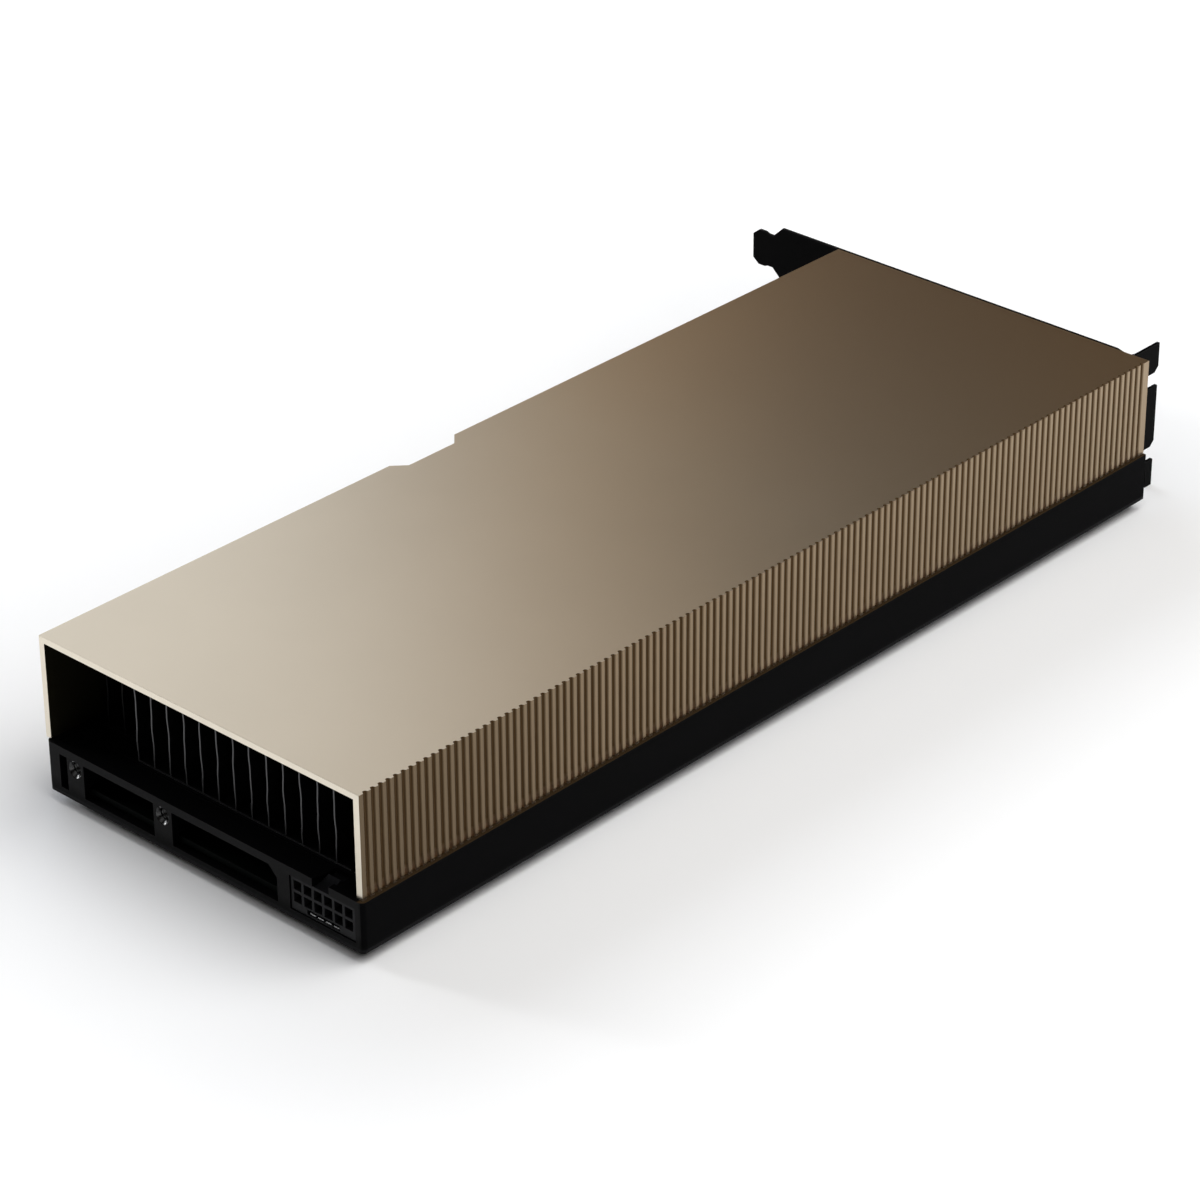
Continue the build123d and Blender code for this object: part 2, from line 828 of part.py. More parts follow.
def make_power_contacts():
    half = pin_size / 2
    pins = []
    for (y, z), (x, _) in zip(cell_places(), pin_tails()):
        bar = block(socket_front + pin_front, x + half, y - half, y + half, z - half, z + half)
        tail = block(x - half, x + half, y - half, y + half, back_thickness + board_clearance, z + half)
        pins.append(bar.fuse(tail))
    return pins


def make_side_contacts():
    half = side_contact_width / 2
    end = socket_back + board_clearance / 2
    return [block(socket_front + socket_setback, end, y - half, y + half,
                  side_slot_bottom, side_slot_bottom + side_contact_thickness) for y in side_contact_places()]


# Slot bracket

def tongue_outline(centre):
    """Tongue below the plate that drops into the chassis, with a narrower neck."""
    wide, neck = tongue_width / 2, neck_width / 2
    start, tip = plate_end, tongue_tip
    cut_y, cut_z = tongue_tip_cut
    root = wide + tongue_root
    upper = [(start - overrun, root), (start, root), (start + neck_start, neck), (start + neck_end, neck),
             (start + neck_end + neck_slope, wide), (tip - cut_y, wide), (tip, wide - cut_z)]
    points = [(y, centre + z) for y, z in upper]
    return points + [(y, centre - z) for y, z in reversed(upper)]


def flange_outline():
    """Flange with two open screw notches and the finger that reaches past the plate's lower edge."""
    x0, x1 = bracket_face - bend_radius, flange_tip
    inner = bracket_face + screw_notch_end
    half = screw_notch_width / 2
    c = screw_notch_chamfer
    points = [(x0, flange_top), (x1, flange_top)]
    for z in (screw_notch_centre, screw_notch_centre - slot_pitch):
        points += [(x1, z + half + c), (x1 - c, z + half), (inner, z + half)]
        points += [(inner, z - half), (x1, z - half)]
    finger = x1 - hook_finger_width
    return points + [(x1, flange_low), (finger, flange_low), (finger, plate_low), (x0, plate_low)]


def bent_sheet():
    """Plate and flange as one bent strip, before its outline is cut."""
    plate = Rectangle(bracket_thickness, plate_end - flange_face, align=(Align.MIN, Align.MIN))
    flange = Rectangle(bracket_thickness + flange_reach, bracket_thickness, align=(Align.MIN, Align.MIN))
    profile = plate + flange
    corners = profile.vertices()
    outside = corners.sort_by_distance((0, 0, 0))[0]
    inside = corners.sort_by_distance((bracket_thickness, bracket_thickness, 0))[0]
    profile = fillet(outside, bend_radius)
    inside = profile.vertices().sort_by_distance(tuple(inside))[0]
    profile = fillet(inside, bend_radius - bracket_thickness)
    return Pos(card_length, flange_face, flange_low) * extrude(profile, plate_top - flange_low)


def make_bracket():
    plate_outline = [(flange_face, plate_low), (plate_end, plate_low), (plate_end, plate_top),
                     (flange_face + plate_corner, plate_top), (flange_face, flange_top)]
    plate_space = side_plate(plate_outline, card_length, bracket_face + bend_radius)
    flange_space = flange_plate(flange_outline(), flange_face, flange_face + bend_radius)
    sheet = bent_sheet().intersect(plate_space.fuse(flange_space))
    centres = (tongue_centre, tongue_centre - slot_pitch)
    tongues = [side_plate(tongue_outline(z), card_length, bracket_face) for z in centres]
    vent = block(card_length - overrun, bracket_face + overrun, 0, vent_width, vent_low, vent_high)
    vents = [Pos(0, vent_start + vent_pitch * i, 0) * vent for i in range(vent_count)]
    head = sink_for(screw_radius, screw_head_radius, bracket_thickness * sheet_head_share,
                    bracket_thickness + overrun, hole_clearance)
    bracket = join(sheet.solids() + tongues)
    return bracket.cut(*vents, *[place * head for place in bracket_screw_places()])


def bracket_screw_places():
    """Frames of the screws that hold the bracket to the frame's end wall, heads outwards."""
    return [Location((bracket_face, y, bracket_screw_height), (0, -90, 0)) for y in bracket_screws_y]


def make_bracket_screws():
    one = screw(screw_radius, screw_head_radius, bracket_thickness * sheet_head_share,
                bracket_thickness + far_wall)
    return [place * one for place in bracket_screw_places()]


# Nodes

nodes = {
    "shroud": make_shroud(),
    "shroud_screws": make_shroud_screws(),
    "base_frame": make_base_frame(),
    "threaded_inserts": make_inserts(),
    "backplate": make_backplate(),
    "backplate_screws": make_cover_screws(),
    "board_spacers": make_spacers(),
    "circuit_board": make_board(),
    "edge_contacts": make_edge_contacts(),
    "processor_substrate": make_substrate(),
    "stiffener_ring": make_ring(),
    "processor_die": make_die(),
    "memory_stacks": make_memory_stacks(),
    "thermal_interface": make_interface(),
    "retention_spring": make_spring(),
    "spring_pad": make_spring_pad(),
    "spring_screws": make_spring_screws(),
    "heat_sink_base": make_sink_base(),
    "fin_stack": make_fin_stack(),
    "power_inductors": make_inductors(),
    "inductor_pads": make_inductor_pads(),
    "power_stages": make_power_stages(),
    "filter_capacitors": make_capacitors(),
    "controller_chips": make_controllers(),
    "flash_chip": make_flash(),
    "clock_crystal": make_crystal(),
    "current_shunts": make_shunts(),
    "power_socket": make_socket(),
    "power_contacts": make_power_contacts(),
    "signal_contacts": make_side_contacts(),
    "slot_bracket": make_bracket(),
    "bracket_screws": make_bracket_screws(),
}


def solids_of(shape):
    """The node's solids, moved to the part's own origin."""
    shapes = shape if isinstance(shape, list) else [shape]
    return [Pos(*(-origin)) * solid for piece in shapes for solid in piece.solids()]


os.makedirs("parts", exist_ok=True)
for name, shape in nodes.items():
    solids = solids_of(shape)
    export_step(solids[0] if len(solids) == 1 else Compound(children=solids), f"parts/{name}.step")
    print(name, len(solids))
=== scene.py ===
import json
import math
import bpy
import bmesh
from mathutils import Matrix, Vector


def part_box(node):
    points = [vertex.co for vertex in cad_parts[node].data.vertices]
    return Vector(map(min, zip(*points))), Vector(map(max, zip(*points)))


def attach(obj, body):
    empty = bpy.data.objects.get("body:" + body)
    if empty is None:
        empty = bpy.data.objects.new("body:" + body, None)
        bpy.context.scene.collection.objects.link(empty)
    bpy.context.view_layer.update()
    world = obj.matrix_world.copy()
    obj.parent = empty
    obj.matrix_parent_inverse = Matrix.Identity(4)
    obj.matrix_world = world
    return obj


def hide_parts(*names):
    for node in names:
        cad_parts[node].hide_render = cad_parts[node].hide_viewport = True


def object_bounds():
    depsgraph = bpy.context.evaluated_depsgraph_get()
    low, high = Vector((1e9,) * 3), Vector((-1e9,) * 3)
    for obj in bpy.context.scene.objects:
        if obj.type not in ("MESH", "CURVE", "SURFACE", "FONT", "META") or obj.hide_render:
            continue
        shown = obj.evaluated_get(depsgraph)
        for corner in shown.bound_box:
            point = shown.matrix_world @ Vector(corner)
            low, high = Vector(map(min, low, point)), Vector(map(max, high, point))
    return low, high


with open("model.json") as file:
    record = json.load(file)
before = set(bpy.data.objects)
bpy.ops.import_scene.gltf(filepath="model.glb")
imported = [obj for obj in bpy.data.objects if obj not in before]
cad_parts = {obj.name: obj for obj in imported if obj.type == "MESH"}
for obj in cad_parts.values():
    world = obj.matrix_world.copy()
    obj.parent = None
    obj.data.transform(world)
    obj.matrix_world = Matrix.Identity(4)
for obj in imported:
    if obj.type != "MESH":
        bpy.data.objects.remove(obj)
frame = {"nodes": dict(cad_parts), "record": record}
cad_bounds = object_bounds()
nodes = frame["nodes"]
MM = 0.001
MICRON = 0.000001

# Camera, in metres and degrees
CAMERA_PLACE = Vector((-0.63289, -0.58377, 0.48478))
CAMERA_FORWARD = Vector((0.64884, 0.59098, -0.47931)).normalized()
CAMERA_ROLL = math.radians(-0.169)
CAMERA_LENS = 126.61
CAMERA_SENSOR = 36.0
CAMERA_SHIFT = (-0.01893, -0.03327)
CAMERA_CLIP = (0.01, 50.0)

# Light: azimuth from +X towards +Y and height above the horizon in degrees, lengths in metres,
# radiance as the brightness of the softbox's face, where 1 is white
SOFTBOXES = {
    "key": dict(azimuth=82, height=30, distance=1.6, size=(1.85, 1.5), radiance=1.52,
                tint=(0.90, 0.962, 1.055)),
    "bounce": dict(azimuth=43.5, height=30, distance=1.6, size=(0.14, 1.5), radiance=0.36,
                   tint=(1.0, 0.58, 0.12)),
    "rim": dict(azimuth=26, height=30, distance=1.6, size=(0.336, 1.5), radiance=0.07,
                tint=(1.0, 0.65, 0.2)),
    "front": dict(azimuth=-66, height=62, distance=1.2, size=(1.25, 1.25), radiance=3.0,
                  tint=(1.0, 1.0, 0.995)),
    "left": dict(azimuth=-165, height=66, distance=1.5, size=(1.5, 1.5), radiance=0.54,
                 tint=(1.0, 1.0, 1.0)),
    "glint": dict(azimuth=111, height=19, distance=1.5, size=(0.17, 0.17), radiance=44.0,
                  tint=(1.0, 1.0, 1.0)),
}
AMBIENT = (0.008, 0.003, 0.001)

# Floor, in metres; its glow goes by the distance from the part's box
FLOOR_COLOUR = (0.93, 0.93, 0.93)
FLOOR_ROUGHNESS = 0.9
FLOOR_SPECULAR = 0.1
FLOOR_RINGS = (0.0, 0.5, 1.2)
FLOOR_RADIUS = 3.2
FLOOR_BEND = 0.5
FLOOR_BEND_STEPS = 10
FLOOR_WALL = 0.45
FLOOR_SIDES = 96
GLOW_START = 0.01
GLOW_END = 0.17
GLOW_LEVEL = 0.42

# Tracks on the board, one to a contact; a wave texture of scale 1 turns by WAVE_RATE each metre
TRACK_PITCH = 1.0 * MM
WAVE_RATE = 20

# Patches and grain of the finishes
NOISE_RANGE = (0.3, 0.7)
PATCH_DETAIL = 4.0
GRAIN_DETAIL = 2.0
ALONG_CARD = (0.04, 1, 1)

# Where the masks of the finishes start and end, as distances from the face that each counts from
GROOVE_DEPTHS = (0.03 * MM, 0.42 * MM)
GROOVE_FOOT = (2.6 * MM, 0.8 * MM)
LOWER_EDGE_HEIGHTS = (0.40 * MM, 0.22 * MM)
LOWER_EDGE_DEPTHS = (0.30 * MM, 0.10 * MM)
LEDGE_DEPTHS = (0.80 * MM, 0.72 * MM)
BEZEL_FOOT = (3.4 * MM, 1.2 * MM)
# Where the top's painted shade by the bracket starts, and where the ribbed face's painted shade by
# the inlet ends
BRACKET_SHADE_START = 150 * MM
INLET_SHADE_END = 75 * MM
TRACK_LEVELS = (0.55, 0.75)
TRACK_REACH = (-2 * MM, -1 * MM)
FRONT_FIN_DEPTHS = (3.0 * MM, 1.5 * MM)

# How far a surface has to turn to the inlet side for a mask to show there
FIN_EDGE_FACING = (-0.6, -0.9)
INSERT_RIM_FACING = (-0.9, -0.97)

# Faces of the shroud and the frame, told apart by their distance from the outer faces
SHROUD_SKIN = 0.05 * MM
RIB_BAND = 0.75 * MM
INNER_BAND = 0.9 * MM
RECESS_FLOOR_BAND = 3.3 * MM
RECESS_END_BAND = 2.2 * MM
EDGE_SKIN = 0.03 * MM
RIB_EDGE_BAND = 1.0 * MM
BEZEL_SKIN = 0.2 * MM

# And by which way they face, as the part of their normal along an axis
SQUARE_ON = 0.9
MOSTLY = 0.5
NOT_INWARDS = -0.05

# Rounded edges
MERGE_DISTANCE = 1e-6
FLAT_ANGLE = math.radians(0.5)
SHARP_ANGLE = math.radians(40)
EDGE_SEGMENTS = 2
EDGE_WIDTH = {
    "shroud": 0.22 * MM, "base_frame": 0.22 * MM, "backplate": 0.15 * MM,
    "slot_bracket": 0.16 * MM, "power_socket": 0.10 * MM,
}

# Fins: cuts along their length and height let their front ends bend
FIN_PITCH = 5.03 * MM
FIN_LEVELS = 14
FIN_CUTS = (4 * MM, 8 * MM, 13 * MM, 20 * MM)
FIN_SWAY = 0.13 * MM
FIN_HOLD = 6
FIN_WAVES = ((1.0, 9, 2.4), (0.6, 21, 4.1))

# Threaded inserts
INSERT_OUTER = 2.1 * MM
INSERT_BORE = 1.25 * MM
INSERT_SINK = 0.75 * MM
INSERT_SINK_STEP = 0.04 * MM
INSERT_BREAK = (0.08 * MM, 0.10 * MM)
INSERT_SIDES = 48
INSERT_SHARP_ANGLE = math.radians(35)
THREAD_PITCH = 0.5 * MM
THREAD_DEPTH = 0.22 * MM
THREAD_STEPS = 8

# Nodes whose finish differs from their material slot's
FINISH_OF = {"signal_contacts": "tinned"}

# Outer faces of the shroud, the frame and the fins
SHROUD_LOW, SHROUD_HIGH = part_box("shroud")
FRAME_LOW, FRAME_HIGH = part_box("base_frame")
FIN_LOW, FIN_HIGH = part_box("fin_stack")


# Node helpers

def new_material(name):
    """New material; returns it with its node tree, its shader and its object's own coordinates."""
    material = bpy.data.materials.new(name)
    material.use_nodes = True
    tree = material.node_tree
    shader = tree.nodes["Principled BSDF"]
    place = tree.nodes.new("ShaderNodeTexCoord")
    return material, tree, shader, place.outputs["Object"]


def noise(tree, place, scale, detail, stretch=(1, 1, 1)):
    """Noise over the part's own coordinates, scale in features per metre."""
    mapping = tree.nodes.new("ShaderNodeMapping")
    mapping.inputs["Scale"].default_value = [scale * s for s in stretch]
    texture = tree.nodes.new("ShaderNodeTexNoise")
    texture.inputs["Scale"].default_value = 1.0
    texture.inputs["Detail"].default_value = detail
    tree.links.new(place, mapping.inputs["Vector"])
    tree.links.new(mapping.outputs["Vector"], texture.inputs["Vector"])
    return texture.outputs["Fac"]


def map_range(tree, value, start, end, low=0.0, high=1.0, interpolation="LINEAR"):
    """Goes from low to high as the value goes from start to end, and stays level beyond."""
    node = tree.nodes.new("ShaderNodeMapRange")
    node.interpolation_type = interpolation
    node.inputs["From Min"].default_value = start
    node.inputs["From Max"].default_value = end
    node.inputs["To Min"].default_value = low
    node.inputs["To Max"].default_value = high
    tree.links.new(value, node.inputs["Value"])
    return node.outputs["Result"]


def spread(tree, value, low, high):
    """Maps a noise's usual range to low..high."""
    return map_range(tree, value, *NOISE_RANGE, low, high)


def mix(tree, factor, first, second):
    """Colour between two colours or sockets by a factor."""
    node = tree.nodes.new("ShaderNodeMix")
    node.data_type = "RGBA"
    tree.links.new(factor, node.inputs["Factor"])
    for socket, value in (("A", first), ("B", second)):
        target = [s for s in node.inputs if s.name == socket and s.type == "RGBA"][0]
        if isinstance(value, bpy.types.NodeSocket):
            tree.links.new(value, target)
        else:
            target.default_value = (*value, 1)
    return [s for s in node.outputs if s.type == "RGBA"][0]


def ramp(tree, place, axis, start, end):
    """Rises from 0 to 1 as one coordinate goes from start to end, in metres."""
    split = tree.nodes.new("ShaderNodeSeparateXYZ")
    tree.links.new(place, split.inputs[0])
    return map_range(tree, split.outputs[axis], start, end)


def band(tree, place, axis, face, distances):
    """Rises from 0 to 1 between two distances from a face."""
    return ramp(tree, place, axis, face + distances[0], face + distances[1])


def facing(tree, axis, start, end):
    """Rises from 0 to 1 as one part of the surface's own normal goes from start to end."""
    coordinates = tree.nodes.new("ShaderNodeTexCoord")
    return ramp(tree, coordinates.outputs["Normal"], axis, start, end)


def combine(tree, operation, first, second):
    """Two values joined by a math node's operation."""
    node = tree.nodes.new("ShaderNodeMath")
    node.operation = operation
    tree.links.new(first, node.inputs[0])
    tree.links.new(second, node.inputs[1])
    return node.outputs[0]


def vector_math(tree, operation, first, second=None):
    """Result of a vector math node, whose second vector is a constant."""
    node = tree.nodes.new("ShaderNodeVectorMath")
    node.operation = operation
    tree.links.new(first, node.inputs[0])
    if second is not None:
        node.inputs[1].default_value = second
    return node.outputs["Value" if operation == "LENGTH" else "Vector"]


def bump(tree, shader, height, distance):
    """Relief of a surface, distance being how high it stands in metres."""
    node = tree.nodes.new("ShaderNodeBump")
    node.inputs["Strength"].default_value = 1.0
    node.inputs["Distance"].default_value = distance
    tree.links.new(height, node.inputs["Height"])
    tree.links.new(node.outputs["Normal"], shader.inputs["Normal"])


def shaded(colour, share):
    """Colour with each channel times a share, up to white."""
    return tuple(min(1, c * share) for c in colour)


def finish(name, colour, roughness, metallic=0.0, specular=0.5, vary=0.12, rough_vary=0.06,
           patch=60.0, grain=2500.0, depth=10 * MICRON, stretch=(1, 1, 1), over=(), matt=None):
    """Finish with slow patches in colour, and a fine grain in roughness and relief.

    over holds pairs of a mask and the colour that shows there instead, matt is a mask where the
    surface isn't metallic."""
    material, tree, shader, place = new_material(name)
    patches = noise(tree, place, patch, PATCH_DETAIL)
    fine = noise(tree, place, grain, GRAIN_DETAIL, stretch)
    share = spread(tree, patches, 0, 1)
    tone = mix(tree, share, shaded(colour, 1 - vary), shaded(colour, 1 + vary))
    for mask, marked in over:
        tone = mix(tree, mask(tree, place), tone, marked)
    rough = spread(tree, fine, roughness - rough_vary, roughness + rough_vary)
    tree.links.new(tone, shader.inputs["Base Color"])
    tree.links.new(rough, shader.inputs["Roughness"])
    shader.inputs["Metallic"].default_value = metallic
    if matt:
        metal = map_range(tree, matt(tree, place), 0.0, 1.0, metallic, 0.0)
        tree.links.new(metal, shader.inputs["Metallic"])
    shader.inputs["Specular IOR Level"].default_value = specular
    bump(tree, shader, fine, depth)
    return material


# Masks of the finishes

def groove_shade(tree, place):
    """Depth in the grooves between the ribs, where the ribbed face is painted darker as shade."""
    return band(tree, place, "Y", SHROUD_LOW.y, GROOVE_DEPTHS)


def groove_foot(tree, place):
    """The lowest part of the grooves, made matt brown as painted light in place of the metal's
    dark reflection.
    """
    low = band(tree, place, "Z", SHROUD_LOW.z, GROOVE_FOOT)
    return combine(tree, "MULTIPLY", low, groove_shade(tree, place))


def on_lower_edge(tree, place):
    """The ribs' cut lower edge."""
    low = band(tree, place, "Z", SHROUD_LOW.z, LOWER_EDGE_HEIGHTS)
    crest = band(tree, place, "Y", SHROUD_LOW.y, LOWER_EDGE_DEPTHS)
    return combine(tree, "MULTIPLY", low, crest)


def rib_light_towards_bracket(tree, place):
    """Rises along the whole shroud from the inlet to the bracket; the ribbed face is painted
    lighter along it, as light.
    """
    return ramp(tree, place, "X", SHROUD_LOW.x, SHROUD_HIGH.x)


def bracket_end_shade(tree, place):
    """Rises over the part of the shroud by the bracket, where the top is painted darker and warmer
    as shade.
    """
    return ramp(tree, place, "X", SHROUD_LOW.x + BRACKET_SHADE_START, SHROUD_HIGH.x)


def rib_shade_by_inlet(tree, place):
    """Rises along the ribbed face towards the inlet, over its first part, where the face is
    painted darker as shade.
    """
    return ramp(tree, place, "X", SHROUD_LOW.x + INLET_SHADE_END, SHROUD_LOW.x)


def ledge_light_under_ribs(tree, place):
    """The frame's ledge that shows below the ribs, painted warm brown as light."""
    return band(tree, place, "Y", SHROUD_LOW.y, LEDGE_DEPTHS)


def bezel_foot_shade(tree, place):
    """The bezel's strip below the windows, painted darker as shade."""
    return band(tree, place, "Z", FRAME_LOW.z, BEZEL_FOOT)


def on_tracks(tree, place):
    """Copper tracks under the board's mask, one to each contact of the edge connector."""
    wave = tree.nodes.new("ShaderNodeTexWave")
    wave.inputs["Scale"].default_value = 2 * math.pi / (WAVE_RATE * TRACK_PITCH)
    tree.links.new(place, wave.inputs["Vector"])
    line = map_range(tree, wave.outputs["Fac"], *TRACK_LEVELS)
    edge = band(tree, place, "Y", SHROUD_HIGH.y, TRACK_REACH)
    return combine(tree, "MULTIPLY", line, edge)


def front_fin_edge_light(tree, place):
    """The foremost fins' front edges, painted lighter as light falling on them; the set-back fins'
    edges stay dark.
    """
    near = band(tree, place, "X", FIN_LOW.x, FRONT_FIN_DEPTHS)
    return combine(tree, "MULTIPLY", facing(tree, "X", *FIN_EDGE_FACING), near)


def insert_rim_shade(tree, place):
    """The inserts' flat outer ends, round the countersunk mouths, painted darker as shade."""
    return facing(tree, "X", *INSERT_RIM_FACING)


def make_finishes():
    """Every finish of the part by its name."""
    facts = {
        # Top and plain side: darker and warmer towards the bracket, as painted shade.
        "champagne_metal": dict(
            colour=(0.527, 0.450, 0.341), roughness=0.325, metallic=1.0, vary=0.02,
            rough_vary=0.02, patch=25, grain=5200, depth=4 * MICRON,
            over=[(bracket_end_shade, (0.511, 0.378, 0.246))]),
        # Ribbed face: a darker copy of the champagne metal as painted shade, lighter towards the
        # bracket as painted light and darker by the inlet as painted shade; the grooves darken as
        # painted shade, and their foot is matt brown as painted light.
        "ribbed_metal_painted_light_and_shade": dict(
            colour=(0.245, 0.178, 0.110), roughness=0.34, metallic=1.0, vary=0.03,
            rough_vary=0.03, patch=90, grain=4200, depth=5 * MICRON,
            over=[(rib_light_towards_bracket, (0.352, 0.267, 0.176)), (rib_shade_by_inlet, (0.154, 0.112, 0.069)),
                  (groove_shade, (0.085, 0.052, 0.025)), (groove_foot, (0.160, 0.090, 0.040)),
                  (on_lower_edge, (0.50, 0.43, 0.34))],
            matt=groove_foot),
        # A lighter copy of the champagne metal on the shroud's ends: painted light.
        "lit_end_metal": dict(
            colour=(0.80, 0.73, 0.61), roughness=0.30, metallic=1.0, vary=0.03,
            rough_vary=0.03, patch=200, grain=4000, depth=3 * MICRON),
        # The shroud's inside faces made near black: painted shade.
        "shroud_inside_shade": dict(
            colour=(0.011, 0.0095, 0.0048), roughness=0.6, specular=0.05, patch=80, grain=2400),
        "black_frame": dict(
            colour=(0.0018, 0.0018, 0.0021), roughness=0.50, specular=0.018, grain=3600,
            depth=12 * MICRON),
        # The bezel's outer face a lighter black than the frame's sides, as painted light, with its
        # foot darker as painted shade.
        "bezel_light_and_foot_shade": dict(
            colour=(0.0105, 0.0105, 0.0107), roughness=0.50, specular=0.04, grain=3600,
            depth=12 * MICRON, over=[(bezel_foot_shade, (0.0030, 0.0030, 0.0031))]),
        # The frame's up-facing faces a darker black, as painted shade, and the ledge below the
        # ribs warm brown, as painted light.
        "deck_shade_and_ledge_light": dict(
            colour=(0.0016, 0.0016, 0.0018), roughness=0.55, specular=0.02, grain=3600,
            depth=12 * MICRON, over=[(ledge_light_under_ribs, (0.034, 0.021, 0.010))]),
        "black_cover": dict(
            colour=(0.0060, 0.0060, 0.0065), roughness=0.48, specular=0.06, grain=3000),
        "black_bracket": dict(
            colour=(0.0016, 0.0016, 0.0017), roughness=0.42, specular=0.018, grain=2600,
            depth=8 * MICRON),
        # Lighter black on the rounded edges.
        "edge_black": dict(
            colour=(0.013, 0.013, 0.0135), roughness=0.45, specular=0.12, vary=0.3, patch=400,
            grain=3600, depth=8 * MICRON),
        # Black solder mask, made near black as painted shade where the board shows in the windows;
        # its tracks are its own pattern.
        "board": dict(
            colour=(0.0014, 0.0024, 0.0019), roughness=0.42, specular=0.05, patch=240,
            grain=1800, depth=6 * MICRON, over=[(on_tracks, (0.0040, 0.0085, 0.0060))]),
        "gold_contact": dict(
            colour=(0.86, 0.62, 0.24), roughness=0.24, metallic=1.0, grain=3000,
            depth=3 * MICRON),
        # The fins near black as painted shade inside the inlet, with the foremost fins' front
        # edges lighter as painted light.
        "fin_metal": dict(
            colour=(0.014, 0.014, 0.015), roughness=0.44, metallic=0.9, grain=2600,
            depth=6 * MICRON, stretch=ALONG_CARD,
            over=[(front_fin_edge_light, (0.10, 0.10, 0.103))]),
        "plated_copper": dict(colour=(0.52, 0.50, 0.46), roughness=0.32, metallic=1.0),
        "silicon": dict(colour=(0.06, 0.06, 0.075), roughness=0.16, specular=0.6),
        "substrate": dict(colour=(0.03, 0.11, 0.06), roughness=0.4),
        "steel_part": dict(
            colour=(0.50, 0.50, 0.50), roughness=0.33, metallic=1.0, stretch=ALONG_CARD),
        "black_screw": dict(
            colour=(0.035, 0.035, 0.037), roughness=0.36, metallic=0.8, grain=4000),
        # Dark metal, darker still on the flat rims, as painted shade that keeps the floor's
        # reflection off the inserts.
        "bright_insert": dict(
            colour=(0.065, 0.065, 0.065), roughness=0.26, metallic=1.0, vary=0.05,
            over=[(insert_rim_shade, (0.014, 0.014, 0.015))]),
        "ferrite": dict(colour=(0.09, 0.09, 0.10), roughness=0.5),
        "soft_pad": dict(colour=(0.28, 0.33, 0.42), roughness=0.8),
        "chip": dict(colour=(0.018, 0.018, 0.019), roughness=0.45),
        "crystal_can": dict(colour=(0.7, 0.7, 0.7), roughness=0.25, metallic=1.0),
        "socket_plastic": dict(
            colour=(0.0085, 0.0085, 0.0095), roughness=0.38, specular=0.12, grain=2200,
            depth=8 * MICRON),
        "tinned": dict(
            colour=(0.50, 0.50, 0.50), roughness=0.26, metallic=1.0, grain=3000,
            depth=3 * MICRON),
    }
    return {name: finish(name, **values) for name, values in facts.items()}


# Dressed pieces

def plain_faces(node):
    """The node's own faces as a new bmesh, with the triangles of each flat face joined."""
    bm = bmesh.new()
    bm.from_mesh(nodes[node].data)
    bmesh.ops.remove_doubles(bm, verts=bm.verts, dist=MERGE_DISTANCE)
    bmesh.ops.dissolve_limit(bm, angle_limit=FLAT_ANGLE, verts=bm.verts, edges=bm.edges)
    return bm


def new_piece(name, bm, materials):
    """Object in the scene from a bmesh, which is freed."""
    mesh = bpy.data.meshes.new(name)
    bm.to_mesh(mesh)
    bm.free()
    for material in materials:
        mesh.materials.append(material)
    piece = bpy.data.objects.new(name, mesh)
    bpy.context.scene.collection.objects.link(piece)
    return piece


def stand_in(piece, slot, *names):
    """Lets a piece stand for CAD nodes, on the one body."""
    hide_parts(*names)
    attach(piece, "root")


def apply_modifiers(piece):
    """Gives a piece the mesh that its modifiers make, and takes them off."""
    graph = bpy.context.evaluated_depsgraph_get()
    graph.update()
    finished = bpy.data.meshes.new_from_object(piece.evaluated_get(graph))
    piece.modifiers.clear()
    piece.data = finished


def rounded(node, materials, slot, face_material=None, edge_material=-1, chosen=None):
    """Copy of a node with its sharp edges rounded, which stands for the node.

    face_material gives a face's place in the list of materials, edge_material is the place of the
    rounded edges' own, and chosen says which edges are rounded."""
    bm = plain_faces(node)
    for face in bm.faces:
        face.material_index = face_material(face) if face_material else 0
        face.smooth = True
    layer = bm.edges.layers.float.new("bevel_weight_edge")
    for edge in bm.edges:
        sharp = len(edge.link_faces) == 2 and edge.calc_face_angle(0) > SHARP_ANGLE
        edge[layer] = 1.0 if sharp and (chosen is None or chosen(edge)) else 0.0
        edge.smooth = not sharp
    piece = new_piece(node + "_shell", bm, materials)
    bevel = piece.modifiers.new("edges", "BEVEL")
    bevel.limit_method = "WEIGHT"
    bevel.width = EDGE_WIDTH[node]
    bevel.segments = EDGE_SEGMENTS
    bevel.material = edge_material
    bevel.harden_normals = True
    flat = piece.modifiers.new("flats", "WEIGHTED_NORMAL")
    flat.keep_sharp = True
    apply_modifiers(piece)
    stand_in(piece, slot, node)


def shroud_face(face):
    """0 plain outside, 1 ribbed face, 2 inside, 3 the ends round the inlet and at the bracket; 1
    and 2 take darker copies of the metal as painted shade, 3 a lighter copy as painted light.
    """
    middle = face.calc_center_median()
    if min(abs(middle.x - SHROUD_LOW.x), abs(middle.x - SHROUD_HIGH.x)) < SHROUD_SKIN:
        return 3
    by_ribs = middle.y < SHROUD_LOW.y + RIB_BAND and middle.x > SHROUD_LOW.x + SHROUD_SKIN
    if by_ribs and abs(face.normal.z) < MOSTLY:
        return 1
    recess_band = RECESS_FLOOR_BAND if face.normal.y > MOSTLY else RECESS_END_BAND
    if middle.y > SHROUD_HIGH.y - recess_band and face.normal.y > NOT_INWARDS:
        return 0
    inside_y = SHROUD_LOW.y + INNER_BAND < middle.y < SHROUD_HIGH.y - INNER_BAND
    inside_x = SHROUD_LOW.x + SHROUD_SKIN < middle.x < SHROUD_HIGH.x - SHROUD_SKIN
    inside = inside_x and inside_y and middle.z < SHROUD_HIGH.z - INNER_BAND
    return 2 if inside else 0


